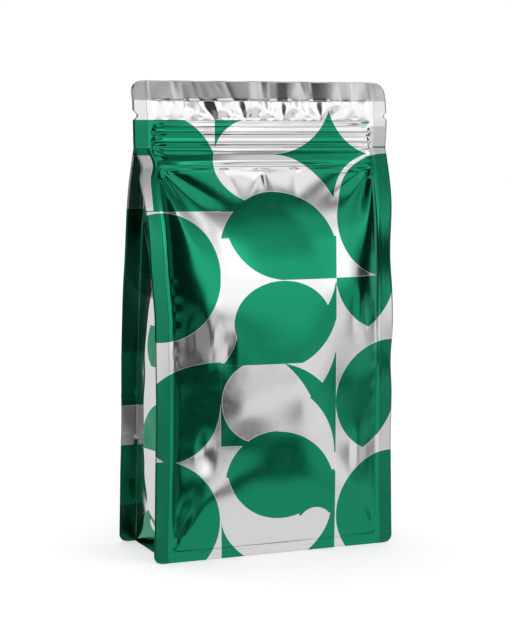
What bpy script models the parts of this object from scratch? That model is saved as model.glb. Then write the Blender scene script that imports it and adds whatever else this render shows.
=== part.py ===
"""Filled foil bag that stands on a flat bottom, with gusseted sides and a press-to-close zip.

The bag is one piece of welded film, so it is one solid. It stands on the ground at z = 0 with its
front towards -Y. Units are metres.
"""

import math

import bmesh
import bpy

# The bag laid flat, and how far its bottom opens.
HEIGHT = 0.265
FLAT_WIDTH = 0.150
BASE_WIDTH = 0.1464
WAIST_WIDTH = 0.1436
DEPTH = 0.0605

# Seals: the flat strips where layers of film are welded together.
SIDE_SEAL = 0.0100
BOTTOM_SEAL = 0.0070
LAYER = 0.0006
TOP_CORNER_RADIUS = 0.0066
BASE_CORNER_RADIUS = 0.0048

# The closed mouth: the sides stay shut above SHUT_LEVEL and open out below it.
SHUT_LEVEL = 0.228
OPENING_LENGTH = 0.058
MOUTH_LEAN = -0.0115
MOUTH_TWIST = -0.0037
LEAN_LEVEL = 0.240

# The filled panels.
PANEL_BULGE = 0.0135
SIDE_BULGE = 0.0040
BULGE_CROSS_POWER = 2.4
BULGE_RISE_POWER = 2.2
BULGE_FULLNESS = 0.72
WAIST_LEVEL = 0.090

# The press-to-close zip shows through the film as level ridges: (height above ground, height of ridge).
ZIP_BOTTOM = 0.217
ZIP_TOP = 0.2432
ZIP_RIDGES = ((0.2392, 0.0009), (0.2336, 0.0010), (0.2276, 0.0012), (0.2220, 0.0006))
ZIP_RIDGE_HALF = 0.0026
ZIP_ROW = 0.0013

# The side gussets: folded inwards above FOLD_LEVEL, pushed out below it, tucked under at the base.
FOLD_LEVEL = 0.157
FOLD_RUN = 0.034
FOLD_DEPTH = 0.0200
FOLD_END_DEPTH = 0.0060
TUCK_HEIGHT = 0.028
TUCK_DEPTH = 0.0050

# Creases that fan out from the zip's two lower corners.
FAN_HEIGHT = 0.0016
FAN_REACH = 0.024
FAN_FOLDS = 2.5

# Tear notches in both edges, just above the zip.
NOTCH_LEVEL = 0.2457
NOTCH_RADIUS = 0.0022
NOTCH_INSET = 0.0001

# Points across a front or back panel, and across a gusset.
PANEL_STEPS = 22
GUSSET_STEPS = 6


def smooth_step(value):
    """Ease from 0 to 1 as value goes from 0 to 1."""
    value = min(1.0, max(0.0, value))
    return value * value * (3.0 - 2.0 * value)


def half_width(z):
    """Half the distance between the outer edges of the side seals, before corners are rounded."""
    waist = WAIST_WIDTH / 2
    if z < WAIST_LEVEL:
        return waist + (BASE_WIDTH / 2 - waist) * (1.0 - z / WAIST_LEVEL) ** 2
    rise = smooth_step((z - WAIST_LEVEL) / (ZIP_BOTTOM - WAIST_LEVEL))
    return waist + (FLAT_WIDTH / 2 - waist) * rise


def corner_trim(z):
    """How much the rounded corners take off the half width at height z."""
    for radius, gap in ((BASE_CORNER_RADIUS, z), (TOP_CORNER_RADIUS, HEIGHT - z)):
        if gap < radius:
            return radius - math.sqrt(max(0.0, radius**2 - (radius - gap) ** 2))
    return 0.0


def half_depth(z):
    """Half the distance between the front and back seals; one layer of film where the mouth is shut."""
    if z >= SHUT_LEVEL:
        return LAYER
    return LAYER + (DEPTH / 2 - LAYER) * math.tanh((SHUT_LEVEL - z) / OPENING_LENGTH)


def mid_plane(x, z):
    """The y of the plane midway between front and back: the mouth leans forwards and twists a little."""
    share = min(1.0, z / LEAN_LEVEL) ** 2
    return share * (MOUTH_LEAN + MOUTH_TWIST * x / (FLAT_WIDTH / 2))


def panel_bulge(across, z):
    """How far the filled panel stands out; across runs from -1 to 1 between the side seals."""
    middle = (BOTTOM_SEAL + ZIP_BOTTOM) / 2
    along = abs(z - middle) / (ZIP_BOTTOM - middle)
    if along >= 1.0:
        return 0.0
    rise = (1.0 - along**BULGE_RISE_POWER) ** BULGE_FULLNESS
    cross = max(0.0, 1.0 - abs(across) ** BULGE_CROSS_POWER) ** BULGE_FULLNESS
    return PANEL_BULGE * rise * cross


def corner_fan(across, z):
    """Creases that spread down and inwards from the zip's lower corners."""
    inwards = (1.0 - abs(across)) * half_width(z)
    down = ZIP_BOTTOM - z
    reach = math.hypot(inwards, down)
    if down <= 0.0 or inwards <= 0.0:
        return 0.0
    swing = math.atan2(inwards, down) / (math.pi / 2)
    strength = reach / FAN_REACH * math.exp(1.0 - reach / FAN_REACH)
    edge = math.sin(math.pi * swing) ** 0.5
    return FAN_HEIGHT * strength * edge * math.cos(2.0 * math.pi * FAN_FOLDS * swing / 2.0)


def zip_relief(across, z):
    """The zip's level ridges, which end just short of the side seals."""
    height = 0.0
    for level, ridge in ZIP_RIDGES:
        gap = abs(z - level) / ZIP_RIDGE_HALF
        if gap < 1.0:
            height += ridge * math.cos(gap * math.pi / 2) ** 2
    return height * smooth_step((1.0 - abs(across)) * 20.0)


def gusset_side(over, z):
    """How far the gusset stands out from its seals; over runs from -1 to 1, front to back."""
    if z > FOLD_LEVEL:
        climb = (z - FOLD_LEVEL) / FOLD_RUN
        depth = FOLD_DEPTH * smooth_step(climb)
        shutting = smooth_step((z - ZIP_BOTTOM + FOLD_RUN / 2) / (SHUT_LEVEL - ZIP_BOTTOM + FOLD_RUN / 2))
        depth += (FOLD_END_DEPTH - depth) * shutting
        spread = min(1.0, climb + 0.15)
        return -depth * max(0.0, 1.0 - abs(over) / spread)
    rise = math.sin(math.pi * min(1.0, max(0.0, z / FOLD_LEVEL))) ** 0.6
    stand_out = SIDE_BULGE * rise * (1.0 - over * over)
    tuck = TUCK_DEPTH * max(0.0, 1.0 - z / TUCK_HEIGHT - abs(over))
    return stand_out - tuck


def panel_stations():
    """Places across a panel from -1 to 1, closer together near the seals."""
    return [math.sin(math.pi * (step / PANEL_STEPS - 0.5)) for step in range(PANEL_STEPS + 1)]


def panel_points(z, facing):
    """Points across the front (facing -1) or back (facing 1) panel at height z, from -X to +X."""
    seam = half_width(z) - SIDE_SEAL
    points = []
    for across in panel_stations():
        stand_out = panel_bulge(across, z) + corner_fan(across, z) + zip_relief(across, z)
        x = across * seam
        points.append((x, mid_plane(x, z) + facing * (half_depth(z) + stand_out), z))
    return points


def side_points(z, hand):
    """Points round one side at height z, front to back: seal, gusset, seal. hand is 1 at +X, -1 at -X."""
    edge = hand * (half_width(z) - corner_trim(z))
    seam = half_width(z) - SIDE_SEAL
    outer = half_depth(z)
    inner = outer - LAYER
    at_edge = mid_plane(edge, z)
    points = [(edge, at_edge - outer, z), (edge, at_edge - inner, z)]
    if z <= SHUT_LEVEL:
        for step in range(GUSSET_STEPS + 1):
            over = 2.0 * step / GUSSET_STEPS - 1.0
            x = hand * (seam + gusset_side(over, z))
            points.append((x, mid_plane(x, z) + over * inner, z))
        points.append((edge, at_edge + inner, z))
    points.append((edge, at_edge + outer, z))
    return points


def bag_levels():
    """Heights of the bag's cross-sections, closer together where the shape turns quickly."""
    radius = BASE_CORNER_RADIUS
    low = [0.0] + [radius * (1.0 - math.cos(math.radians(turn))) for turn in (25, 50, 70)]
    low += [BOTTOM_SEAL, BOTTOM_SEAL + 0.0015, 0.012, 0.017, 0.0225, TUCK_HEIGHT]
    middle = [TUCK_HEIGHT + (FOLD_LEVEL - TUCK_HEIGHT) * step / 9 for step in range(1, 10)]
    upper = [FOLD_LEVEL + (ZIP_BOTTOM - 0.003 - FOLD_LEVEL) * step / 9 for step in range(1, 10)]
    upper += [ZIP_BOTTOM - 0.001]
    rows = round((SHUT_LEVEL - ZIP_BOTTOM) / ZIP_ROW)
    shutting = [ZIP_BOTTOM + (SHUT_LEVEL - ZIP_BOTTOM) * step / rows for step in range(rows + 1)]
    rows = round((ZIP_TOP - SHUT_LEVEL) / ZIP_ROW)
    closed = [SHUT_LEVEL + (ZIP_TOP - SHUT_LEVEL) * step / rows for step in range(1, rows + 1)]
    radius = TOP_CORNER_RADIUS
    crown = [HEIGHT - radius * (1.0 - math.sin(math.radians(turn))) for turn in (0, 20, 40, 58, 74)]
    return low + middle + upper + shutting + closed + [0.250] + crown + [HEIGHT]


def cross_section(z):
    """The closed outline at height z, anticlockwise seen from above, starting at the front left seam."""
    return (
        panel_points(z, -1)
        + side_points(z, 1)
        + panel_points(z, 1)[::-1]
        + side_points(z, -1)[::-1]
    )


def bridge(mesh, lower, upper):
    """Join two outlines of the same number of vertices with a band of faces."""
    count = len(lower)
    for here in range(count):
        there = (here + 1) % count
        mesh.faces.new((lower[here], lower[there], upper[there], upper[here]))


def shut_outline(outline):
    """The vertices of the last open outline that the first shut outline stands on."""
    panel = PANEL_STEPS + 1
    side = GUSSET_STEPS + 5
    right = outline[panel : panel + side]
    left = outline[2 * panel + side :]
    kept_right = [right[0], right[1], right[-1]]
    kept_left = [left[0], left[-2], left[-1]]
    return outline[:panel] + kept_right + outline[panel + side : 2 * panel + side] + kept_left


def loft_bag():
    """The whole bag as one closed mesh, lofted through its cross-sections."""
    mesh = bmesh.new()
    outlines = []
    for z in bag_levels():
        outlines.append((z, [mesh.verts.new(point) for point in cross_section(z)]))
    for (low_z, lower), (high_z, upper) in zip(outlines, outlines[1:]):
        if low_z <= SHUT_LEVEL < high_z:
            lower = shut_outline(lower)
        bridge(mesh, lower, upper)
    mesh.faces.new(outlines[0][1][::-1])
    mesh.faces.new(outlines[-1][1])
    bmesh.ops.remove_doubles(mesh, verts=mesh.verts, dist=1e-6)
    bmesh.ops.recalc_face_normals(mesh, faces=mesh.faces)
    return mesh


def printed_foil():
    """Green printed metal film."""
    material = bpy.data.materials.new("printed_foil")
    material.use_nodes = True
    shader = material.node_tree.nodes["Principled BSDF"]
    shader.inputs["Base Color"].default_value = (0.02, 0.33, 0.17, 1.0)
    shader.inputs["Metallic"].default_value = 1.0
    shader.inputs["Roughness"].default_value = 0.3
    return material


def add_notch_cutter(hand, collection):
    """An upright-facing round bar that cuts one tear notch."""
    bpy.ops.mesh.primitive_cylinder_add(
        vertices=16,
        radius=NOTCH_RADIUS,
        depth=0.02,
        location=(hand * (FLAT_WIDTH / 2 + NOTCH_INSET), MOUTH_LEAN, NOTCH_LEVEL),
        rotation=(math.pi / 2, 0.0, 0.0),
    )
    cutter = bpy.context.object
    cutter.name = "notch_cutter_right" if hand > 0 else "notch_cutter_left"
    cutter.hide_render = True
    cutter.display_type = "WIRE"
    move_to(cutter, collection)
    return cutter


def move_to(piece, collection):
    """Put an object in one collection only."""
    for holder in list(piece.users_collection):
        holder.objects.unlink(piece)
    collection.objects.link(piece)


def new_collection(name):
    """A collection under the scene's own."""
    collection = bpy.data.collections.new(name)
    bpy.context.scene.collection.children.link(collection)
    return collection


def main():
    """Clear the scene and build the bag."""
    for piece in list(bpy.data.objects):
        bpy.data.objects.remove(piece)
    parts = new_collection("foil_bag_parts")
    cutters = new_collection("cutters")

    mesh = loft_bag()
    data = bpy.data.meshes.new("foil_bag")
    mesh.to_mesh(data)
    mesh.free()
    data.materials.append(printed_foil())
    data.shade_smooth()
    data.set_sharp_from_angle(angle=math.radians(35))
    bag = bpy.data.objects.new("foil_bag", data)
    parts.objects.link(bag)

    for hand in (-1, 1):
        cutter = add_notch_cutter(hand, cutters)
        notch = bag.modifiers.new(cutter.name, "BOOLEAN")
        notch.operation = "DIFFERENCE"
        notch.solver = "EXACT"
        notch.object = cutter


main()
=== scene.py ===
"""Looks of a filled foil bag: printed metal film, welded seals, zip, side gussets, and a plain studio.

The bag is made of the sheets that a real one is welded from: a front and a back film, two side gussets
and a base. Each starts as a flat grid and is formed by one function. Units are metres, except in the
print, whose shapes are in millimetres on the film.
"""

import math

import bmesh
import bpy
from bpy.props import FloatProperty, FloatVectorProperty, PointerProperty
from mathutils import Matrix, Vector, noise


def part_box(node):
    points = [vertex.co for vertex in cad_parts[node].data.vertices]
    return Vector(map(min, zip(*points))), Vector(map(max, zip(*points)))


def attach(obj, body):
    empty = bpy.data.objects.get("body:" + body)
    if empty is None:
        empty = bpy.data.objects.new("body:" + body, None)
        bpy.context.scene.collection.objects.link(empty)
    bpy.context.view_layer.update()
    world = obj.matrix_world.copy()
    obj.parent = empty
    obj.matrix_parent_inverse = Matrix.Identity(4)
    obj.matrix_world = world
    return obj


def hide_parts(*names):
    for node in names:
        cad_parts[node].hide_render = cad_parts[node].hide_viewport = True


bl_info = {
    "name": "Foil Bag",
    "version": (1, 0, 0),
    "blender": (4, 5, 0),
    "location": "View3D > Sidebar > Foil Bag",
    "description": "Builds the sheets, print and studio of a filled foil bag",
    "category": "Object",
}

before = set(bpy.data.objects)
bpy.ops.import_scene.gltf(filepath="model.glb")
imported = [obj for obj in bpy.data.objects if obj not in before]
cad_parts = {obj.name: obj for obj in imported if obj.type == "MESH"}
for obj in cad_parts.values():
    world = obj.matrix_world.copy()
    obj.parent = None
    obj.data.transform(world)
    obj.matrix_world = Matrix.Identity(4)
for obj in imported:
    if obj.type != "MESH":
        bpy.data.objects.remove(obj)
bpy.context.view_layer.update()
BAG_LOW, BAG_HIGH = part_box("foil_bag")


class BagShape(bpy.types.PropertyGroup):
    """Sizes of the bag."""

    height: FloatProperty(
        name="Height", description="Height of the standing bag", default=BAG_HIGH.z, unit="LENGTH")
    flat_width: FloatProperty(
        name="Flat width", description="Width across the side seals at the mouth",
        default=BAG_HIGH.x - BAG_LOW.x, unit="LENGTH")
    base_width: FloatProperty(
        name="Base width", description="Width across the side seals at the base",
        default=0.1464, unit="LENGTH")
    waist_width: FloatProperty(
        name="Waist width", description="Width where the filling draws the seals in",
        default=0.1436, unit="LENGTH")
    depth: FloatProperty(
        name="Depth", description="Depth between the front and back seals at the base",
        default=0.0605, unit="LENGTH")
    side_seal: FloatProperty(
        name="Side seal", description="Width of the welded strips at both sides",
        default=0.0100, unit="LENGTH")
    bottom_seal: FloatProperty(
        name="Bottom seal", description="Height of the welded strip at the bottom",
        default=0.0070, unit="LENGTH")
    panel_bulge: FloatProperty(
        name="Panel bulge", description="How far the filled front and back stand out from their seals",
        default=0.0135, unit="LENGTH")
    side_bulge: FloatProperty(
        name="Side bulge", description="How far the filled gussets stand out from their seals",
        default=0.0055, unit="LENGTH")
    film: FloatProperty(
        name="Film", description="Thickness of one sheet of film", default=0.00025, unit="LENGTH")


class BagFinish(bpy.types.PropertyGroup):
    """Colours and gloss of the film."""

    silver: FloatVectorProperty(
        name="Silver", description="Colour of the bare metal film", subtype="COLOR",
        size=3, min=0.0, max=1.0, default=(0.80, 0.795, 0.79))
    green: FloatVectorProperty(
        name="Green", description="Colour of the clear ink over the metal film", subtype="COLOR",
        size=3, min=0.0, max=1.0, default=(0.004, 0.262, 0.133))
    roughness: FloatProperty(
        name="Roughness", description="Roughness of the metal layer", default=0.135,
        min=0.0, max=1.0, subtype="FACTOR")


# Levels and widths that the shape functions share with the solid they dress.
LAYER = 0.0006
INNER_HALF = 0.065
TOP_CORNER_RADIUS = 0.0066
BASE_CORNER_RADIUS = 0.0048
SHUT_LEVEL = 0.228
OPENING_LENGTH = 0.058
MOUTH_LEAN = -0.0115
MOUTH_TWIST = -0.0037
LEAN_LEVEL = 0.240
BULGE_CROSS_POWER = 2.4
BULGE_RISE_POWER = 2.2
BULGE_FULLNESS = 0.72
WAIST_LEVEL = 0.090
SHOULDER_LOW = 0.158
SHOULDER_HIGH = 0.222
SLACK_POWER = 1.15
SLACK_SHARE = 0.85
ZIP_BOTTOM = 0.217
ZIP_TOP = 0.2432
# The zip's rows from its top down: (height of row, degrees that it turns up against the film's plane).
ZIP_ROWS = (
    (0.0010, -25), (0.0052, 16), (0.0007, -55), (0.0019, 29), (0.0004, -60), (0.0027, 8), (0.0007, -58),
    (0.0020, 29), (0.0007, -55), (0.0016, -12), (0.0020, 5), (0.0043, -4), (0.0020, 4), (0.0020, 0),
)
ZIP_ROUNDING = 0.0003
ZIP_BOW = 0.0022
ZIP_CRUSH_LEFT, ZIP_CRUSH_RIGHT = 0.0007, 0.0004
ZIP_DIMPLE_PITCH = 0.0062
BAND_TOP = 0.255
TOP_SEAL = 0.2553
BAND_TILT = 0.087
SEAL_TILT = 0.360
ZIP_TWIST = 0.10
ZIP_TWIST_START, ZIP_TWIST_RUN = 0.016, 0.024
FOLD_FOOT_WIDTH = 0.0009
FOLD_LEVEL = 0.157
FOLD_RUN = 0.034
FOLD_DEPTH = 0.0200
FOLD_END_DEPTH = 0.0060
TUCK_HEIGHT = 0.0245
TUCK_DEPTH = 0.0090
NOTCH_LEVEL = 0.2457
NOTCH_POWER = 1.6
LEFT_NOTCH = (0.0024, 0.0026)
RIGHT_NOTCH = (0.0018, 0.0019)
FIN_CRIMPS = (0.0600, 0.0855, 0.1080)
FIN_CRIMP_HEIGHT, FIN_CRIMP_WIDTH = 0.0007, 0.0011
# Where the right side seals bend back: (level, reach up and down, share of the seal's width).
RIGHT_FIN_BENDS = ((0.168, 0.036, 0.30), (0.108, 0.022, 0.24))
# Where the left front seam wanders: (level, reach up and down, towards the middle).
SEAM_WANDERS = ((0.2190, 0.0090, 0.0021), (0.163, 0.030, -0.0014))
SEAM_WANDER_START, SEAM_WANDER_RUN = 0.045, 0.020


def smooth_step(value):
    """Ease from 0 to 1 as value goes from 0 to 1."""
    value = min(1.0, max(0.0, value))
    return value * value * (3.0 - 2.0 * value)


def hump(distance, reach):
    """A smooth hump of height 1 that ends at reach on both sides."""
    share = abs(distance) / reach
    if share >= 1.0:
        return 0.0
    return math.cos(share * math.pi / 2) ** 2


def crease(distance, width):
    """A sharp ridge of height 1 whose sides run out over about three widths."""
    return math.exp(-math.sqrt(distance * distance + 0.04 * width * width) / width)


def wavy(x, z, seed, size):
    """Smooth noise from -1 to 1 with lumps of about the given size."""
    return noise.noise(Vector((x / size, seed, z / size)))


def half_width(shape, z):
    """Half the distance between the outer edges of the side seals, before corners are rounded."""
    waist = shape.waist_width / 2
    if z < WAIST_LEVEL:
        return waist + (shape.base_width / 2 - waist) * (1.0 - z / WAIST_LEVEL) ** 2
    rise = smooth_step((z - SHOULDER_LOW) / (SHOULDER_HIGH - SHOULDER_LOW))
    return waist + (shape.flat_width / 2 - waist) * rise


def edge_trim(shape, z, hand):
    """How much the rounded corners and the tear notches take off a side at height z."""
    trim = 0.0
    for radius, gap in ((BASE_CORNER_RADIUS, z), (TOP_CORNER_RADIUS, shape.height - z)):
        if gap < radius:
            trim = radius - math.sqrt(max(0.0, radius**2 - (radius - gap) ** 2))
    depth, reach = RIGHT_NOTCH if hand > 0 else LEFT_NOTCH
    return trim + depth * max(0.0, 1.0 - (abs(z - NOTCH_LEVEL) / reach) ** NOTCH_POWER)


def half_depth(shape, z):
    """Half the distance between the front and back seals; one layer where the mouth is shut."""
    if z >= SHUT_LEVEL:
        return LAYER
    return LAYER + (shape.depth / 2 - LAYER) * math.tanh((SHUT_LEVEL - z) / OPENING_LENGTH)


def mid_plane(shape, x, z):
    """The y midway between front and back: the mouth leans, twists and waves, and the zip tilts back
    towards its left end."""
    share = min(1.0, z / LEAN_LEVEL) ** 2
    lean = share * (MOUTH_LEAN + MOUTH_TWIST * x / (shape.flat_width / 2))
    climb = min(max(0.0, z - ZIP_BOTTOM), ZIP_TOP - ZIP_BOTTOM)
    twist = ZIP_TWIST * climb * smooth_step((-x - ZIP_TWIST_START) / ZIP_TWIST_RUN)
    return lean + mouth_wave(x, z) + twist


def seam_shift(z, facing, hand):
    """How far the left front seam wanders in towards the middle under the zip, and out at the shoulder."""
    if hand > 0.0 or facing > 0.0:
        return 0.0
    return sum(inwards * hump(z - level, reach) for level, reach, inwards in SEAM_WANDERS)


def panel_bulge(shape, across, z):
    """How far the filled panel stands out; across runs from -1 to 1 between the side seals."""
    middle = (shape.bottom_seal + ZIP_BOTTOM) / 2
    along = abs(z - middle) / (ZIP_BOTTOM - middle)
    if along >= 1.0 or abs(across) >= 1.0:
        return 0.0
    rise = (1.0 - along**BULGE_RISE_POWER) ** BULGE_FULLNESS
    taut = (1.0 - abs(across) ** BULGE_CROSS_POWER) ** BULGE_FULLNESS
    slack = math.cos(across * math.pi / 2) ** SLACK_POWER
    low = SLACK_SHARE * smooth_step((0.152 - z) / 0.055) * smooth_step((z - 0.030) / 0.035)
    return shape.panel_bulge * rise * (taut + (slack - taut) * low)


def ray_ridge(x, z, start, turn, length, height, width, flare=0.25):
    """A ridge that runs from start at turn degrees from straight down, towards +X, and fades out."""
    angle = math.radians(turn)
    away_x, away_z = x - start[0], z - start[1]
    along = away_x * math.sin(angle) - away_z * math.cos(angle)
    aside = away_x * math.cos(angle) + away_z * math.sin(angle)
    if along <= 0.0:
        return 0.0
    share = along / length
    strength = min(1.0, share * 6.0) * math.exp(-(share**2))
    return height * strength * crease(aside, width + flare * along)


# Creases of the front panel: (start across, start height, degrees from straight down towards +X,
# length, height, width). Degrees above 90 climb. The first are the fans under the zip's two ends.
FRONT_CREASES = (
    (-0.0640, 0.2180, 14, 0.040, 0.0026, 0.0006),
    (-0.0640, 0.2180, 27, 0.034, -0.0030, 0.0010),
    (-0.0640, 0.2180, 40, 0.036, 0.0034, 0.0009),
    (-0.0640, 0.2180, 57, 0.038, -0.0030, 0.0018),
    (0.0640, 0.2175, -12, 0.046, 0.0028, 0.0008),
    (0.0640, 0.2175, -26, 0.032, -0.0024, 0.0012),
    (0.0640, 0.2175, -42, 0.028, 0.0018, 0.0012),
    (0.0640, 0.2175, -62, 0.036, -0.0030, 0.0020),
    (-0.0630, 0.0080, 146, 0.046, 0.0012, 0.0016),
    (-0.0630, 0.0080, 162, 0.036, -0.0012, 0.0016),
    (0.0630, 0.0080, -150, 0.034, 0.0011, 0.0016),
    (0.0630, 0.0080, -166, 0.028, -0.0009, 0.0014),
    (-0.0040, 0.2176, 2, 0.014, 0.0016, 0.0010),
    (-0.0040, 0.2176, -32, 0.018, 0.0012, 0.0014),
    (-0.0040, 0.2176, 38, 0.018, 0.0013, 0.0014),
    (0.0180, 0.2176, -18, 0.016, -0.0009, 0.0020),
    (-0.0260, 0.2176, 16, 0.016, -0.0008, 0.0020),
)
# Soft dents and swellings of the front panel: (across, height, half width, half height, stands out).
FRONT_DENTS = (
    (-0.0530, 0.128, 0.0060, 0.016, -0.0006), (-0.0440, 0.122, 0.0060, 0.018, 0.0006),
    (-0.0350, 0.118, 0.0060, 0.016, -0.0005), (0.0500, 0.136, 0.0060, 0.020, 0.0006),
    (0.0585, 0.130, 0.0050, 0.016, -0.0006), (-0.0470, 0.062, 0.0070, 0.016, -0.0006),
    (0.0510, 0.058, 0.0070, 0.020, 0.0006),
)
BACK_CREASES = (
    (-0.0645, 0.2175, 30, 0.024, 0.0021, 0.0010),
    (-0.0645, 0.2175, 58, 0.034, -0.0018, 0.0022),
    (0.0640, 0.2170, -22, 0.030, 0.0018, 0.0009),
    (0.0640, 0.2170, -54, 0.030, -0.0018, 0.0024),
    (-0.0630, 0.0080, 150, 0.034, 0.0016, 0.0014),
    (0.0630, 0.0080, -146, 0.030, 0.0015, 0.0014),
    (0.0120, 0.2172, 4, 0.014, 0.0010, 0.0014),
)
# Folds of the mouth: (across at its foot, slant, steepness, width at its top, then how much more the
# top seal tilts there and over what reach).
MOUTH_FOLDS = (
    (-0.0275, -0.40, 0.60, 0.0042, 0.130, 0.0110), (-0.0100, -0.36, 0.60, 0.0044, 0.165, 0.0130),
    (0.0120, 0.00, 0.58, 0.0040, 0.130, 0.0100), (0.0345, -0.06, 0.58, 0.0046, 0.150, 0.0135),
    (-0.0410, -0.20, 0.36, 0.0016, 0.040, 0.0050), (-0.0020, 0.00, 0.30, 0.0014, -0.070, 0.0085),
    (0.0045, 0.10, 0.36, 0.0014, 0.000, 0.0080), (0.0490, 0.10, 0.36, 0.0018, -0.040, 0.0120),
    (-0.0560, 0.10, 0.30, 0.0016, -0.020, 0.0120), (0.0235, 0.00, 0.26, 0.0014, -0.040, 0.0060),
)
# Pinches along the foot of the mouth band: (across, height of pinch, half width).
BAND_PINCHES = (
    (-0.0560, 0.0006, 0.0035), (-0.0470, 0.0010, 0.0030), (-0.0365, 0.0008, 0.0028),
    (-0.0215, 0.0013, 0.0034), (-0.0165, 0.0012, 0.0022), (-0.0125, 0.0010, 0.0020),
    (-0.0085, 0.0013, 0.0022), (-0.0045, 0.0014, 0.0024), (0.0045, 0.0012, 0.0034),
    (0.0170, 0.0007, 0.0036), (0.0270, 0.0010, 0.0030), (0.0400, 0.0009, 0.0034),
    (0.0555, 0.0007, 0.0030),
)


class Panel:
    """What sets the front and the back panel apart."""

    def __init__(self, facing, creases, dents, pinch_scale, seed):
        self.facing = facing
        self.creases = creases
        self.dents = dents
        self.pinch_scale = pinch_scale
        self.seed = seed


FRONT = Panel(-1.0, FRONT_CREASES, FRONT_DENTS, 1.0, 1.7)
BACK = Panel(1.0, BACK_CREASES, (), -0.93, 14.2)


def zip_profile(z):
    """How far the zip's rows stand out at height z."""
    height, top = 0.0, ZIP_TOP
    for tall, turn in ZIP_ROWS:
        height += math.tan(math.radians(turn)) * min(tall, max(0.0, top - z))
        top -= tall
    return height


def zip_relief(across, z):
    """The zip's level rows, and the crushed film at their two ends."""
    if not ZIP_BOTTOM - 0.001 < z < ZIP_TOP + 0.001:
        return 0.0
    height = sum(zip_profile(z + ZIP_ROUNDING * step) for step in (-1, 0, 1)) / 3
    end = (1.0 - abs(across)) * INNER_HALF
    crush = hump(end - 0.0025, 0.0060) * hump(z - 0.232, 0.013)
    dimples = math.cos(2.0 * math.pi * (z - 0.2385) / ZIP_DIMPLE_PITCH)
    dimples += wavy(across * INNER_HALF, z, 8.7, 0.0034)
    height *= smooth_step(end / 0.0030) * smooth_step((z - ZIP_BOTTOM) / 0.0015)
    bow = ZIP_BOW * (1.0 - across * across) * smooth_step((ZIP_TOP - z) / 0.004)
    bow *= smooth_step((z - ZIP_BOTTOM) / 0.004)
    return height + bow + (ZIP_CRUSH_LEFT if across < 0.0 else ZIP_CRUSH_RIGHT) * crush * dimples


def mouth_wave(x, z):
    """How the mouth above the zip tilts back, and its folds, which run up from its foot into the seal."""
    climb = z - ZIP_TOP
    if climb <= 0.0:
        return 0.0
    above = max(0.0, z - TOP_SEAL + 0.0015)
    wave = BAND_TILT * climb + (SEAL_TILT - BAND_TILT) * above
    opening = smooth_step(climb / 0.011)
    for place, slant, steep, width, tilt, reach in MOUTH_FOLDS:
        aside = x - place - slant * climb
        wide = FOLD_FOOT_WIDTH + width * opening
        back = min(1.0, max(-1.0, aside / (4.5 * wide)))
        wave += steep * wide * (math.sin(back * math.pi / 2) - math.tanh(aside / wide))
        wave += tilt * above * hump(aside, reach)
    wave += 0.0003 * smooth_step(climb / 0.008) * wavy(x, z * 0.6, 3.1, 0.009)
    return wave + 0.05 * above * wavy(x, 0.0, 5.7, 0.012)


def band_relief(across, z, panel):
    """The loose film between the zip and the top seal, pinched along its foot."""
    if not ZIP_TOP < z < BAND_TOP:
        return 0.0
    x = across * INNER_HALF
    share = (z - ZIP_TOP) / (BAND_TOP - ZIP_TOP)
    pillow = 0.0006 * math.sin(math.pi * share) ** 0.8 * smooth_step((1.0 - abs(across)) * 14.0)
    pinch = 0.0
    for place, height, reach in BAND_PINCHES:
        place *= panel.pinch_scale
        spread = reach * (0.7 + 0.8 * share)
        slant = 0.004 * share * wavy(place, 0.0, panel.seed, 0.01)
        pinch += height * crease(x - place - slant, spread * 0.5)
    fade = math.exp(-2.2 * share) * smooth_step(share * 9.0) * (1.0 - share) ** 0.5
    return pillow * (1.0 + 0.5 * wavy(x, 0.0, panel.seed, 0.008)) - 0.85 * pinch * fade


def seam_crimps(across, z, hand):
    """Scallops beside the side seam, where the filled panel pulls at it."""
    aside = (1.0 - across * hand) * INNER_HALF
    if aside < 0.0 or aside > 0.02:
        return 0.0
    zone = hump(z - 0.150, 0.062) if hand < 0 else 0.45 * hump(z - 0.120, 0.080)
    ripple = math.sin(2.0 * math.pi * z / 0.0105 + 2.2 * wavy(0.0, z, 5.5, 0.03))
    return 0.00030 * zone * ripple * math.exp(-((aside - 0.0022) / 0.0022) ** 2)


def panel_relief(shape, u, z, panel):
    """How far the film at u across and height z stands out from the flat frame of its seals."""
    inner = shape.flat_width / 2 - shape.side_seal
    across = u / inner
    if abs(across) >= 1.0:
        return 0.0003 * hump(abs(u) - inner - 0.0010, 0.0011)
    relief = panel_bulge(shape, across, z) + zip_relief(across, z) + band_relief(across, z, panel)
    if z < ZIP_BOTTOM:
        rim = smooth_step((1.0 - abs(across)) * 18.0)
        foot = smooth_step((z - shape.bottom_seal) / 0.012)
        head = smooth_step((ZIP_BOTTOM - z) / 0.0045)
        near = smooth_step((ZIP_BOTTOM + 0.0003 - z) / 0.0018)
        for start_x, start_z, *size in panel.creases:
            relief += near * ray_ridge(u, z, (start_x, start_z), *size) * min(1.0, rim + 0.3)
        lumps = 0.0011 * wavy(u, z, panel.seed + 0.4, 0.052) + 0.0004 * wavy(u, z, panel.seed + 2.4, 0.024)
        relief += lumps * rim * foot * head
        for place, level, wide, tall, stand_out in panel.dents:
            relief += stand_out * hump(u - place, wide) * hump(z - level, tall)
        relief += seam_crimps(across, z, -1) + seam_crimps(across, z, 1)
        relief -= 0.0004 * hump(z - ZIP_BOTTOM + 0.0012, 0.0014) * rim
    return relief


def fin_wave(shape, z, hand, facing, free):
    """How far back a side seal lies at height z; free runs from 0 at its seam to 1 at its edge."""
    calm = smooth_step(z / 0.02) * smooth_step((0.262 - z) / 0.04)
    wave = 0.0009 * calm * wavy(hand * 0.3, z, 6.0 + facing, 0.036) * free**1.5
    if hand > 0.0:
        wave += shape.side_seal * free * sum(
            share * hump(z - level, reach) for level, reach, share in RIGHT_FIN_BENDS)
    return wave


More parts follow.
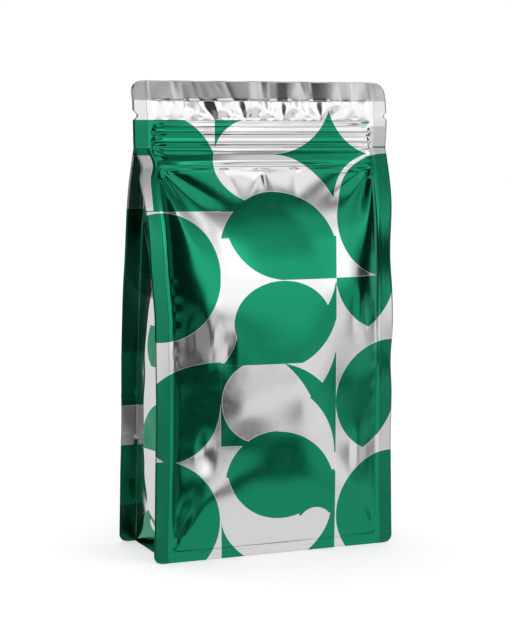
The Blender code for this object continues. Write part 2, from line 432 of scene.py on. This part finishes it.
def panel_point(shape, u, z, panel):
    """Where the film point at u across and height z of the front or back panel lies."""
    facing = panel.facing
    inner = shape.flat_width / 2 - shape.side_seal
    hand = 1.0 if u > 0.0 else -1.0
    seam = half_width(shape, z) - shape.side_seal
    if abs(u) <= inner:
        x = u / inner * seam
        free = 0.0
    else:
        free = (abs(u) - inner) / shape.side_seal
        x = hand * (seam + free * (shape.side_seal - edge_trim(shape, z, hand)))
    x += seam_shift(z, facing, hand) * smooth_step((abs(u) - SEAM_WANDER_START) / SEAM_WANDER_RUN)
    y = mid_plane(shape, x, z) + facing * (half_depth(shape, z) + panel_relief(shape, u, z, panel))
    return Vector((x, y + fin_wave(shape, z, hand, facing, free), z))


def gusset_side(shape, over, z):
    """How far the gusset stands out from its seals; over runs from -1 to 1, front to back."""
    if z > FOLD_LEVEL:
        climb = (z - FOLD_LEVEL) / FOLD_RUN
        depth = FOLD_DEPTH * smooth_step(climb)
        shut_run = SHUT_LEVEL - ZIP_BOTTOM + FOLD_RUN / 2
        depth += (FOLD_END_DEPTH - depth) * smooth_step((z - ZIP_BOTTOM + FOLD_RUN / 2) / shut_run)
        spread = min(1.0, climb + 0.15)
        return -depth * max(0.0, 1.0 - abs(over) / spread)
    rise = math.sin(math.pi * min(1.0, max(0.0, z / FOLD_LEVEL))) ** 0.6
    stand_out = shape.side_bulge * rise * (1.0 - over * over)
    tuck = TUCK_DEPTH * max(0.0, 1.0 - z / TUCK_HEIGHT - abs(over))
    fold = 0.0010 * crease(over, 0.10) * smooth_step((FOLD_LEVEL - z) / 0.02)
    fold *= smooth_step((z - TUCK_HEIGHT) / 0.02)
    lumps = 0.0007 * wavy(over * 0.03, z, 12.5, 0.016) * (1.0 - over * over) * rise
    dent = 0.0016 * hump(z - 0.098, 0.014) * hump(over + 0.45, 0.36)
    return stand_out - tuck + fold + lumps - dent


def gusset_point(shape, w, z, hand):
    """Where the gusset sheet's point lies: w runs from -1 at the front seam to 1 at the back seam, and
    on to -2 and 2 at the free edges of the side seals, which the sheet lines on the inside."""
    seam = half_width(shape, z) - shape.side_seal
    inner = half_depth(shape, z) - shape.film * 1.15
    facing = 1.0 if w > 0.0 else -1.0
    shift = seam_shift(z, facing, hand)
    if abs(w) <= 1.0:
        x = hand * (seam + gusset_side(shape, w, z)) + shift * abs(w)
        return Vector((x, mid_plane(shape, x, z) + w * inner, z))
    free = abs(w) - 1.0
    x = hand * (seam + free * (shape.side_seal - edge_trim(shape, z, hand))) + shift
    y = mid_plane(shape, x, z) + facing * inner + fin_wave(shape, z, hand, facing, free)
    crimp = sum(crease(z - level, FIN_CRIMP_WIDTH) for level in FIN_CRIMPS)
    y += FIN_CRIMP_HEIGHT * crimp * smooth_step(free * 3.0) * max(0.0, facing)
    return Vector((x, y, z))


def stations(*runs):
    """Places along a line, from runs of (end, steps) that each start where the last one ended."""
    places = [runs[0]]
    for end, steps in runs[1:]:
        start = places[-1]
        places += [start + (end - start) * step / steps for step in range(1, steps + 1)]
    return places


def film_sheet(name, columns, rows, form, unroll):
    """A sheet of film from a flat grid: form gives each point's place, unroll its two UV pairs."""
    across, up = len(columns) - 1, len(rows) - 1
    sheet = bmesh.new()
    bmesh.ops.create_grid(sheet, x_segments=across, y_segments=up, size=0.5)
    film_map = sheet.loops.layers.uv.new("film")
    print_map = sheet.loops.layers.uv.new("print")
    maps = {}
    for vert in sheet.verts:
        u = columns[round((vert.co.x + 0.5) * across)]
        v = rows[round((vert.co.y + 0.5) * up)]
        vert.co = form(u, v)
        maps[vert] = unroll(u, v, vert.co)
    for face in sheet.faces:
        face.smooth = True
        for loop in face.loops:
            loop[film_map].uv, loop[print_map].uv = maps[loop.vert]
    return to_piece(sheet, name)


def to_piece(mesh, name):
    """Turn a bmesh into an object of the scene."""
    data = bpy.data.meshes.new(name)
    mesh.to_mesh(data)
    mesh.free()
    piece = bpy.data.objects.new(name, data)
    bpy.context.scene.collection.objects.link(piece)
    return piece


def finish_film(piece, material, thickness, outwards):
    """Give a sheet its thickness, material and place in the frame."""
    piece.data.materials.append(material)
    solid = piece.modifiers.new("thickness", "SOLIDIFY")
    solid.thickness = thickness
    solid.offset = -1.0 if outwards else 1.0
    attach(piece, "root")
    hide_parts("foil_bag")


class Term:
    """A shader socket that arithmetic can be written on. Each operation adds a Math node."""

    def __init__(self, graph, socket):
        self.graph = graph
        self.socket = socket

    def math(self, operation, *others):
        """The result of a Math node on this socket and the others."""
        values = {place: value for place, value in enumerate((self, *others))}
        node = self.graph.add("ShaderNodeMath", {"operation": operation}, values)
        return Term(self.graph, node.outputs[0])

    def reflected(self, operation, first):
        """The result of a Math node whose first value is a plain number."""
        node = self.graph.add("ShaderNodeMath", {"operation": operation}, {0: first, 1: self})
        return Term(self.graph, node.outputs[0])

    def __add__(self, other):
        return self.math("ADD", other)

    def __radd__(self, other):
        return self.reflected("ADD", other)

    def __sub__(self, other):
        return self.math("SUBTRACT", other)

    def __rsub__(self, other):
        return self.reflected("SUBTRACT", other)

    def __mul__(self, other):
        return self.math("MULTIPLY", other)

    def __rmul__(self, other):
        return self.reflected("MULTIPLY", other)

    def __truediv__(self, other):
        return self.math("DIVIDE", other)

    def __neg__(self):
        return self.math("MULTIPLY", -1.0)

    def __abs__(self):
        return self.math("ABSOLUTE")

    def root(self):
        """Square root."""
        return self.math("SQRT")

    def least(self, other):
        """The smaller of two."""
        return self.math("MINIMUM", other)

    def most(self, other):
        """The larger of two."""
        return self.math("MAXIMUM", other)

    def held(self):
        """Held between 0 and 1."""
        return self.math("MAXIMUM", 0.0).math("MINIMUM", 1.0)

    def eased(self, start, end):
        """Ease from 0 at start to 1 at end."""
        node = self.graph.add(
            "ShaderNodeMapRange", {"interpolation_type": "SMOOTHSTEP"}, {0: self, 1: start, 2: end})
        return Term(self.graph, node.outputs[0])


class Graph:
    """A node tree, and the one method that adds nodes to it."""

    def __init__(self, tree):
        self.tree = tree
        tree.nodes.clear()

    def add(self, kind, settings=None, inputs=None):
        """Add a node of a kind, with its settings first, then its sockets' values or links."""
        node = self.tree.nodes.new(kind)
        for name, value in (settings or {}).items():
            setattr(node, name, value)
        for name, value in (inputs or {}).items():
            if isinstance(value, Term):
                value = value.socket
            if isinstance(value, bpy.types.NodeSocket):
                self.tree.links.new(value, node.inputs[name])
            else:
                node.inputs[name].default_value = value
        return node

    def parts(self, vector):
        """The X, Y and Z of a vector as terms."""
        split = self.add("ShaderNodeSeparateXYZ", inputs={0: vector})
        return [Term(self, socket) for socket in split.outputs]


class Disc:
    """A round or oval field of the print. Its distance is above 0 inside."""

    def __init__(self, across, up, radius, rise=None):
        self.centre = across, up
        self.radii = radius, rise or radius

    def distance(self, across, up):
        wide = (across - self.centre[0]) / self.radii[0]
        tall = (up - self.centre[1]) / self.radii[1]
        return (1.0 - (wide * wide + tall * tall).root()) * min(self.radii)


class Field:
    """A field of the print with straight sides. Its right side can slant."""

    def __init__(self, left, right, bottom, top, slant=0.0):
        self.sides = left, right, bottom, top
        self.slant = slant

    def distance(self, across, up):
        left, right, bottom, top = self.sides
        if self.slant:
            right = right + (up - bottom) * self.slant
        return (across - left).least(right - across).least(up - bottom).least(top - up)


class Both:
    """Where all of several fields lie."""

    def __init__(self, *fields):
        self.fields = fields

    def distance(self, across, up):
        first, *others = [field.distance(across, up) for field in self.fields]
        for other in others:
            first = first.least(other)
        return first


class Either:
    """Where any of several fields lies."""

    def __init__(self, *fields):
        self.fields = fields

    def distance(self, across, up):
        first, *others = [field.distance(across, up) for field in self.fields]
        for other in others:
            first = first.most(other)
        return first


class Outside:
    """Where a field doesn't lie."""

    def __init__(self, field):
        self.field = field

    def distance(self, across, up):
        return -self.field.distance(across, up)


# The print, in millimetres on the film: three columns of discs, leaves and four-pointed stars. Each
# row paints green ink or leaves the bare silver, over the rows before it.
LEFT_LINE, RIGHT_LINE, PRINT_TOP = -33.2, 36.3, 243.4
GREEN, SILVER = "green", "silver"
FRONT_PRINT = (
    (GREEN, Field(-9, 69, 199, 250.5)),
    (SILVER, Disc(2.8, 260, 35.4)),
    (SILVER, Disc(70.2, 258, 34.9)),
    (SILVER, Disc(1.5, 188.5, 35.5)),
    (SILVER, Disc(69.5, 190, 35.5)),
    (GREEN, Field(-120, LEFT_LINE, 193.5, PRINT_TOP)),
    (SILVER, Field(-66, LEFT_LINE, 212, PRINT_TOP)),
    (GREEN, Both(Disc(-66, 212, 34.5), Field(-120, LEFT_LINE, 200, PRINT_TOP))),
    (GREEN, Both(Disc(-68, 157.7, 35), Field(-120, LEFT_LINE, 100, 193.2))),
    (GREEN, Both(
        Disc(-33, 80, 50, 31.5), Field(-120, LEFT_LINE, 50, 112),
        Either(Disc(-66, 88, 32.5), Field(-70, LEFT_LINE, 88, 112)))),
    (GREEN, Both(Disc(-68.5, 22.5, 34.5), Field(-120, LEFT_LINE, -20, 70))),
    (GREEN, Both(Disc(72, 189.5, 35), Field(RIGHT_LINE, 120, 155.8, 230))),
    (GREEN, Both(Disc(71.5, 160, 36), Disc(36, 160, 39), Field(RIGHT_LINE, 120, 110, 156))),
    (GREEN, Both(
        Disc(71, 86, 34.7, 32.8), Field(RIGHT_LINE, 120, 40, 130),
        Either(Disc(36.3, 92, 38.5), Field(36, 120, 92, 130)))),
    (GREEN, Both(Disc(71.5, 20, 34.5), Field(RIGHT_LINE, 120, -20, 60))),
    (GREEN, Field(LEFT_LINE, -9.3, 193.2, PRINT_TOP)),
    (SILVER, Both(Disc(-11.3, 221.0, 22.9), Field(-50, 3, 190, 250))),
    (GREEN, Either(
        Both(Disc(-2.3, 172.3, 31.5), Field(-40, -1.6, 178.9, 210)),
        Both(Disc(-1.6, 164.2, 39.5), Field(-1.7, RIGHT_LINE, 178.9, 210)),
        Both(Disc(7.3, 194.8, 39.1), Field(-40, RIGHT_LINE, 155.8, 179.0)),
        Field(3, RIGHT_LINE, 155.8, 179.0))),
    (GREEN, Both(Disc(1, 143, 36.5), Field(4, RIGHT_LINE, 109.6, 155.2))),
    (SILVER, Both(Disc(0, 160, 36.3), Field(4, RIGHT_LINE, 110, 155.2))),
    (GREEN, Field(LEFT_LINE, 4, 109.6, 130)),
    (SILVER, Both(Disc(-55, 133, 32.5), Field(LEFT_LINE, 10, 111, 170))),
    (GREEN, Disc(4, 132.5, 29, 22.9)),
    (GREEN, Field(LEFT_LINE, -9, 64.5, 109.6)),
    (SILVER, Both(Disc(-9.8, 88.8, 22.9), Field(-40, 40, 60, 109.6))),
    (GREEN, Both(Disc(-2.5, 68.2, 42.1), Outside(Disc(-32.4, 62.7, 59.9)), Field(4, 28, 89, 109.6))),
    (GREEN, Both(
        Field(19.3, RIGHT_LINE, 57, 114.6), Outside(Disc(-8.9, 125.5, 46.1)), Outside(Disc(-7.1, 57, 42.6)))),
    (GREEN, Both(Field(LEFT_LINE, RIGHT_LINE, -20, 22), Outside(Disc(0, 28, 34)))),
    (GREEN, Either(
        Both(Disc(-0.2, 41.6, 30.5), Field(-40, 1.2, 47, 80)),
        Both(Disc(-0.4, 35.5, 36.3), Field(1.0, RIGHT_LINE, 45, 80)),
        Both(Disc(3.5, 54.3, 33.2), Field(-40, RIGHT_LINE, 10, 47.2)),
        Both(Field(14, RIGHT_LINE, 21.5, 46), Outside(Disc(24, 15, 10.8))))),
)
FRONT_FIN_PRINT = ((SILVER, Field(-90, -70.5, 194, 223.9, 0.095)),)
GUSSET_PRINT = (
    (GREEN, Field(-60, 60, 157, PRINT_TOP)),
    (GREEN, Both(Disc(-27, 121, 25, 23), Field(-60, 60, 107, 130), Outside(Disc(-30, 104, 17, 13)))),
    (GREEN, Both(Disc(-30, 54, 36), Field(-60, 60, 60, 86.6))),
    (GREEN, Both(Disc(20, -40, 67), Disc(-20, -40, 67))),
    (SILVER, Disc(-3, 13.5, 7, 6)),
    (GREEN, Both(Disc(30, 35, 11, 12), Field(-60, 60, 0, 36))),
    (GREEN, Field(30.3, 60, 80, 160)),
    (GREEN, Field(30.3, 60, -20, 60)),
    (SILVER, Field(30.3, 60, 194, 224)),
)
# Painted shade on the gussets: fields where the film's colour is darkened because it lies in shade, the
# folded part, the rear seals above and at the foot.
GUSSET_PAINTED_SHADE = (
    (GREEN, Field(-31, 31, 145, 236)),
    (GREEN, Field(30.3, 60, 108, PRINT_TOP)),
    (GREEN, Field(30.3, 60, -20, 22)),
)


def print_distance(across, up, layers, ink=None):
    """The print's ink as one distance in millimetres: above 0 on green, below 0 on silver."""
    for paint, field in layers:
        distance = field.distance(across, up)
        if ink is None:
            ink = distance
        elif paint == GREEN:
            ink = ink.most(distance)
        else:
            ink = ink.least(-distance)
    return ink


# The film's relief: heights in metres, and how close together its ribs, lines, grains and knurls lie.
RIB_HEIGHT, RIB_SCALE = 0.00005, 900.0
LINE_HEIGHT, LINE_SCALE = 0.00006, 800.0
GRAIN_HEIGHT, GRAIN_SCALE = 0.000004, 260.0
KNURL_HEIGHT, KNURLS_ACROSS, KNURLS_UP = 0.000012, 5200.0, 4200.0
INK_HEIGHT = 0.00001
SEAL_STEP = 0.00007
FOOT_SEAL = 0.0070
# A height on the film that has neither seals nor ribs, which the plain base takes for its own.
CALM_FILM_LEVEL = 0.1
SILVER_RIM = (0.93, 0.94, 0.93, 1.0)
# The tint that both dulls the seals and darkens the film into painted shade.
DULLING_AND_SHADE_TINT = (0.30, 0.30, 0.30, 1.0)


def film_material(finish, name, layers, seal_half, fins=(), painted_shades=()):
    """Metal film with green ink in fields, ribbed seals, a fine grain and painted shade. The fins' own fields
    and the painted shade fields are laid from the middle of the film, without the print's slant."""
    material = bpy.data.materials.new(name)
    material.use_nodes = True
    graph = Graph(material.node_tree)
    film = graph.add("ShaderNodeUVMap", {"uv_map": "film"}).outputs[0]
    drawn = graph.add("ShaderNodeUVMap", {"uv_map": "print"}).outputs[0]
    u, v, _ = graph.parts(film)
    across, up, _ = graph.parts(drawn)
    across, up = across * 1000.0, up * 1000.0
    ink = print_distance(across, up, layers)
    ink = print_distance(u * 1000.0, v * 1000.0, fins, ink)
    green = (ink / 0.12 + 0.5).held()
    rim = (1.0 - abs(ink + 0.18) / 0.2).held()

    seal = (abs(u) - seal_half).eased(0.0, 0.0003)
    foot = (FOOT_SEAL - v).eased(0.0, 0.0004)
    pressed = (v - TOP_SEAL).eased(0.0, 0.0004)
    ribs_across = graph.add("ShaderNodeMapping", inputs={0: film, "Scale": (1.0, 0.035, 1.0)})
    ribs = graph.add(
        "ShaderNodeTexNoise", inputs={"Vector": ribs_across.outputs[0], "Scale": RIB_SCALE, "Detail": 2.0})
    lines_up = graph.add("ShaderNodeMapping", inputs={0: film, "Scale": (0.02, 1.0, 1.0)})
    lines = graph.add(
        "ShaderNodeTexNoise", inputs={"Vector": lines_up.outputs[0], "Scale": LINE_SCALE, "Detail": 1.0})
    grain = graph.add("ShaderNodeTexNoise", inputs={"Vector": film, "Scale": GRAIN_SCALE, "Detail": 3.0})
    ribs = Term(graph, ribs.outputs[0])
    lines = Term(graph, lines.outputs[0])
    grain = Term(graph, grain.outputs[0])
    knurls = (u * KNURLS_ACROSS).math("SINE") * (v * KNURLS_UP).math("SINE")
    height = ribs * seal * RIB_HEIGHT + lines * foot * LINE_HEIGHT + grain * GRAIN_HEIGHT
    height = height + green * INK_HEIGHT - seal * SEAL_STEP
    height = height + knurls * seal.most(pressed) * KNURL_HEIGHT

    silver = graph.add("ShaderNodeMix", {"data_type": "RGBA"}, {"Factor": rim})
    # The Mix node's colour sockets share their names with its number sockets.
    silver.inputs[6].default_value = (*finish.silver, 1.0)
    silver.inputs[7].default_value = SILVER_RIM
    # The seals and the pressed top seal are dulled; on top of that, painted shade darkens the film's colour
    # in the shade fields.
    seal_dulling_and_painted_shade = (seal * (green * 0.20 + 0.235)).most(pressed * 0.22)
    if painted_shades:
        seal_dulling_and_painted_shade = seal_dulling_and_painted_shade.most((print_distance(u * 1000.0, v * 1000.0, painted_shades) / 1.5 + 0.5).held())
    colour = graph.add("ShaderNodeMix", {"data_type": "RGBA"}, {"Factor": green})
    graph.tree.links.new(silver.outputs[2], colour.inputs[6])
    colour.inputs[7].default_value = (*finish.green, 1.0)
    bump = graph.add("ShaderNodeBump", inputs={"Height": height, "Distance": 1.0})
    # This multiply darkens the colour for the dull seals and for the painted shade.
    dulled_and_shaded = graph.add("ShaderNodeMix", {"data_type": "RGBA", "blend_type": "MULTIPLY"}, {"Factor": seal_dulling_and_painted_shade})
    graph.tree.links.new(colour.outputs[2], dulled_and_shaded.inputs[6])
    dulled_and_shaded.inputs[7].default_value = DULLING_AND_SHADE_TINT
    pressed_rough = (seal * 0.08).most(pressed * 0.05)
    shader = graph.add("ShaderNodeBsdfPrincipled", inputs={
        "Base Color": dulled_and_shaded.outputs[2],
        "Metallic": 1.0,
        "Roughness": grain * 0.10 + rim * 0.2 + pressed_rough + (finish.roughness - 0.05),
        "Coat Weight": 0.2,
        "Coat Roughness": 0.12,
        "Normal": bump.outputs[0],
    })
    out = graph.add("ShaderNodeOutputMaterial")
    graph.tree.links.new(shader.outputs[0], out.inputs[0])
    return material


# How the print on the front lies on the film: it was laid straight to the eye of someone facing the
# bag's left corner, so it drifts to the left where the film lies further back.
PRINT_SLANT = 0.418
PRINT_DRIFT = 0.004


def front_unroll(shape):
    """The film's own map, and the map that the print follows."""
    def unroll(u, v, place):
        drift = PRINT_DRIFT * smooth_step((v - 0.195) / 0.025)
        back = place.y
        if abs(u) > shape.flat_width / 2 - shape.side_seal:
            back = mid_plane(shape, place.x, v) - half_depth(shape, v)
        laid = place.x - PRINT_SLANT * (back + shape.depth / 2) + drift
        return (u, v), (laid, v)
    return unroll


class OBJECT_OT_front_film(bpy.types.Operator):
    """Make the front film, from side edge to side edge and from the base to the mouth"""
    bl_idname = "foil_bag.front_film"
    bl_label = "Front Film"

    def execute(self, context):
        shape, finish = context.scene.foil_bag_shape, context.scene.foil_bag_finish
        columns, rows = panel_grid(shape)
        piece = film_sheet(
            "front_film", columns, rows,
            lambda u, v: panel_point(shape, u, v, FRONT), front_unroll(shape))
        material = film_material(
            finish, "front_print", FRONT_PRINT, shape.flat_width / 2 - 0.008, FRONT_FIN_PRINT)
        finish_film(piece, material, shape.film, True)
        return {"FINISHED"}


class OBJECT_OT_back_film(bpy.types.Operator):
    """Make the back film, the front's partner"""
    bl_idname = "foil_bag.back_film"
    bl_label = "Back Film"

    def execute(self, context):
        shape, finish = context.scene.foil_bag_shape, context.scene.foil_bag_finish
        columns, rows = panel_grid(shape)
        piece = film_sheet(
            "back_film", columns, rows,
            lambda u, v: panel_point(shape, u, v, BACK),
            lambda u, v, place: ((u, v), (-place.x, v)))
        material = film_material(finish, "back_print", FRONT_PRINT, shape.flat_width / 2 - 0.008)
        finish_film(piece, material, shape.film, False)
        return {"FINISHED"}


def panel_grid(shape):
    """Columns and rows of the front and back films, closer together where the film is worked."""
    edge = shape.flat_width / 2
    inner = edge - shape.side_seal
    columns = stations(-edge, (-inner, 9), (-inner + 0.012, 16), (inner - 0.012, 126), (inner, 16), (edge, 9))
    rows = stations(
        0.0, (BASE_CORNER_RADIUS, 8), (0.012, 8), (0.030, 14), (0.200, 94), (0.2155, 14),
        (0.2185, 6), (ZIP_TOP, 80), (BAND_TOP, 22), (0.2584, 4), (shape.height, 12))
    return columns, rows


class OBJECT_OT_side_gussets(bpy.types.Operator):
    """Make both side gussets, which line the side seals and fold in under the mouth"""
    bl_idname = "foil_bag.side_gussets"
    bl_label = "Side Gussets"

    def execute(self, context):
        shape, finish = context.scene.foil_bag_shape, context.scene.foil_bag_finish
        # The gussets' material carries their print and their painted shade.
        material = film_material(
            finish, "gusset_print_and_painted_shade", GUSSET_PRINT, shape.depth / 2 + 0.002, painted_shades=GUSSET_PAINTED_SHADE)
        columns = stations(-2.0, (-1.0, 8), (-0.8, 8), (0.8, 40), (1.0, 8), (2.0, 8))
        rows = stations(
            0.0, (BASE_CORNER_RADIUS, 8), (0.030, 30), (0.150, 90), (0.200, 50), (0.230, 24), (0.2645, 26))
        for name, hand in (("left_gusset", -1.0), ("right_gusset", 1.0)):
            piece = film_sheet(
                name, columns, rows,
                lambda w, v, hand=hand: gusset_point(shape, w, v, hand),
                lambda w, v, place: (gusset_flat(shape, w, v), gusset_flat(shape, w, v)))
            finish_film(piece, material, shape.film, hand > 0.0)
        return {"FINISHED"}


def gusset_flat(shape, w, v):
    """The gusset film laid flat: how far across from its middle, and the height."""
    if abs(w) <= 1.0:
        return w * shape.depth / 2, v
    return math.copysign(shape.depth / 2 + (abs(w) - 1.0) * shape.side_seal, w), v


class OBJECT_OT_base_film(bpy.types.Operator):
    """Make the base, the sheet that the bag stands on"""
    bl_idname = "foil_bag.base_film"
    bl_label = "Base Film"

    def execute(self, context):
        shape, finish = context.scene.foil_bag_shape, context.scene.foil_bag_finish
        material = film_material(finish, "base_print", ((GREEN, Field(-90, 90, -25.5, 25.5)),), 0.2)
        columns = stations(-1.0, (1.0, 60))
        rows = stations(-1.0, (1.0, 30))

        def form(a, b):
            x = a * (half_width(shape, 0.0) - shape.side_seal + 0.001)
            y = b * (half_depth(shape, 0.0) - shape.film)
            return Vector((x, y, 0.0004 + 0.0003 * wavy(x, y, 9.0, 0.02)))

        piece = film_sheet(
            "base_film", columns, rows, form,
            lambda a, b, place: ((place.x, CALM_FILM_LEVEL), (place.x, place.y)))
        finish_film(piece, material, shape.film, False)
        return {"FINISHED"}


# The camera, fitted to the photograph's corners.
CAMERA_PLACE = (-0.392, -0.936, 0.236)
CAMERA_PITCH = 5.99
CAMERA_YAW = 22.74
CAMERA_LENS = 100.07
FLOOR_HALF = 6.0
FLOOR_GLOW = 0.50

# What the film reflects, painted one over another: (seen in front or behind, left and right edges in
# degrees from straight ahead, low and high edges in degrees, softness, light).
ROOM_LIGHT = 0.80
STUDIO_FIELDS = (
    (True, -200, 200, -24, -17, 2, 0.75),
    (True, -10, 34, -23.5, -17.5, 2, 0.14),
    (True, -200, 200, -17, -8, 2, 0.85),
    (True, -5, 26, -9.0, -7.0, 1, 0.50),
    (True, -5, 34, -4, 24, 5, 1.18),
    (True, -200, 200, 24, 90, 7, 0.74),
    (True, -200, 200, 38, 90, 5, 0.36),
    (True, -200, 200, 47, 67, 3, 0.04),
    (True, 17, 120, 50, 67, 3, 1.00),
    (True, -200, 200, 67, 100, 3, 1.20),
    (True, 4, 17, 16, 31, 3, 1.80),
    (True, 33, 48, 31, 43, 3, 0.95),
    (True, 33, 48, 3, 31, 4, 1.35),
    (True, -80, -14, -17, 32, 2, 0.04),
    (True, -90, -46, -4, 34, 4, 0.25),
    (True, -46, -20, -16, -5, 3, 0.27),
    (True, -20, -2, -16, -7, 3, 0.07),
    (True, -13, -2, -3, 32, 2, 1.40),
    (True, 54, 76, -8, 33, 3, 0.04),
    (True, 50, 62, -13, -4, 3, 0.26),
    (True, 62, 80, -13, -4, 3, 0.50),
    (True, 78, 100, 2, 24, 4, 0.80),
    (False, -60, -14, -30, 60, 5, 0.80),
    (False, -10, 42, -20, 34, 6, 0.80),
    (False, 48, 80, -10, 30, 5, 0.15),
)


def studio_world():
    """A white room for the camera, and softboxes and dark flags for the film to reflect."""
    world = bpy.data.worlds.new("studio")
    bpy.context.scene.world = world
    world.use_nodes = True
    graph = Graph(world.node_tree)
    way = graph.add("ShaderNodeTexCoord").outputs["Generated"]
    x, y, z = graph.parts(way)
    azimuth = x.math("ARCTAN2", -y) * (180.0 / math.pi)
    elevation = z.math("ARCSINE") * (180.0 / math.pi)

    behind = x.math("ARCTAN2", y) * (180.0 / math.pi)
    light = ROOM_LIGHT
    for front, left, right, low, high, soft, value in STUDIO_FIELDS:
        turn = azimuth if front else behind
        cover = turn.eased(left - soft, left + soft) * (1.0 - turn.eased(right - soft, right + soft))
        cover = cover * elevation.eased(low - soft, low + soft)
        cover = cover * (1.0 - elevation.eased(high - soft, high + soft))
        light = light * (1.0 - cover) + cover * value
    seen = Term(graph, graph.add("ShaderNodeLightPath").outputs["Is Camera Ray"])
    glow = light * (1.0 - seen) + seen
    back = graph.add("ShaderNodeBackground", inputs={0: (1.0, 1.0, 1.0, 1.0), 1: glow})
    out = graph.add("ShaderNodeOutputWorld")
    graph.tree.links.new(back.outputs[0], out.inputs[0])


class OBJECT_OT_studio(bpy.types.Operator):
    """Make the floor, the camera and the light"""
    bl_idname = "foil_bag.studio"
    bl_label = "Studio"

    def execute(self, context):
        ground = bmesh.new()
        bmesh.ops.create_grid(ground, x_segments=1, y_segments=1, size=FLOOR_HALF)
        floor = to_piece(ground, "floor")
        material = bpy.data.materials.new("pale_floor")
        material.use_nodes = True
        shader = material.node_tree.nodes["Principled BSDF"]
        shader.inputs["Base Color"].default_value = (0.94, 0.94, 0.94, 1.0)
        shader.inputs["Roughness"].default_value = 0.9
        shader.inputs["Emission Color"].default_value = (1.0, 1.0, 1.0, 1.0)
        shader.inputs["Emission Strength"].default_value = FLOOR_GLOW
        floor.data.materials.append(material)
        floor.visible_glossy = False

        lens = bpy.data.cameras.new("camera")
        lens.lens = CAMERA_LENS
        lens.sensor_width = 36.0
        camera = bpy.data.objects.new("camera", lens)
        camera.location = CAMERA_PLACE
        camera.rotation_euler = (math.radians(90.0 - CAMERA_PITCH), 0.0, math.radians(-CAMERA_YAW))
        context.scene.collection.objects.link(camera)
        context.scene.camera = camera
        context.scene.view_settings.view_transform = "Standard"
        studio_world()
        return {"FINISHED"}


class VIEW3D_PT_foil_bag(bpy.types.Panel):
    """The bag's sizes, colours and operators"""
    bl_idname = "VIEW3D_PT_foil_bag"
    bl_label = "Foil Bag"
    bl_space_type = "VIEW_3D"
    bl_region_type = "UI"
    bl_category = "Foil Bag"

    def draw(self, context):
        for group in (context.scene.foil_bag_shape, context.scene.foil_bag_finish):
            for name in group.__annotations__:
                self.layout.prop(group, name)
        for operator in OPERATORS:
            self.layout.operator(operator.bl_idname)


OPERATORS = (
    OBJECT_OT_studio,
    OBJECT_OT_front_film,
    OBJECT_OT_back_film,
    OBJECT_OT_side_gussets,
    OBJECT_OT_base_film,
)
CLASSES = (BagShape, BagFinish, *OPERATORS, VIEW3D_PT_foil_bag)


def register():
    """Register the classes and the scene's own settings."""
    for item in CLASSES:
        bpy.utils.register_class(item)
    bpy.types.Scene.foil_bag_shape = PointerProperty(type=BagShape)
    bpy.types.Scene.foil_bag_finish = PointerProperty(type=BagFinish)


def unregister():
    """Undo register."""
    del bpy.types.Scene.foil_bag_finish
    del bpy.types.Scene.foil_bag_shape
    for item in reversed(CLASSES):
        bpy.utils.unregister_class(item)


def main():
    """Build the studio and every sheet."""
    register()
    bpy.ops.foil_bag.studio()
    bpy.ops.foil_bag.front_film()
    bpy.ops.foil_bag.back_film()
    bpy.ops.foil_bag.side_gussets()
    bpy.ops.foil_bag.base_film()
    bpy.context.view_layer.update()


if __name__ == "__main__":
    main()
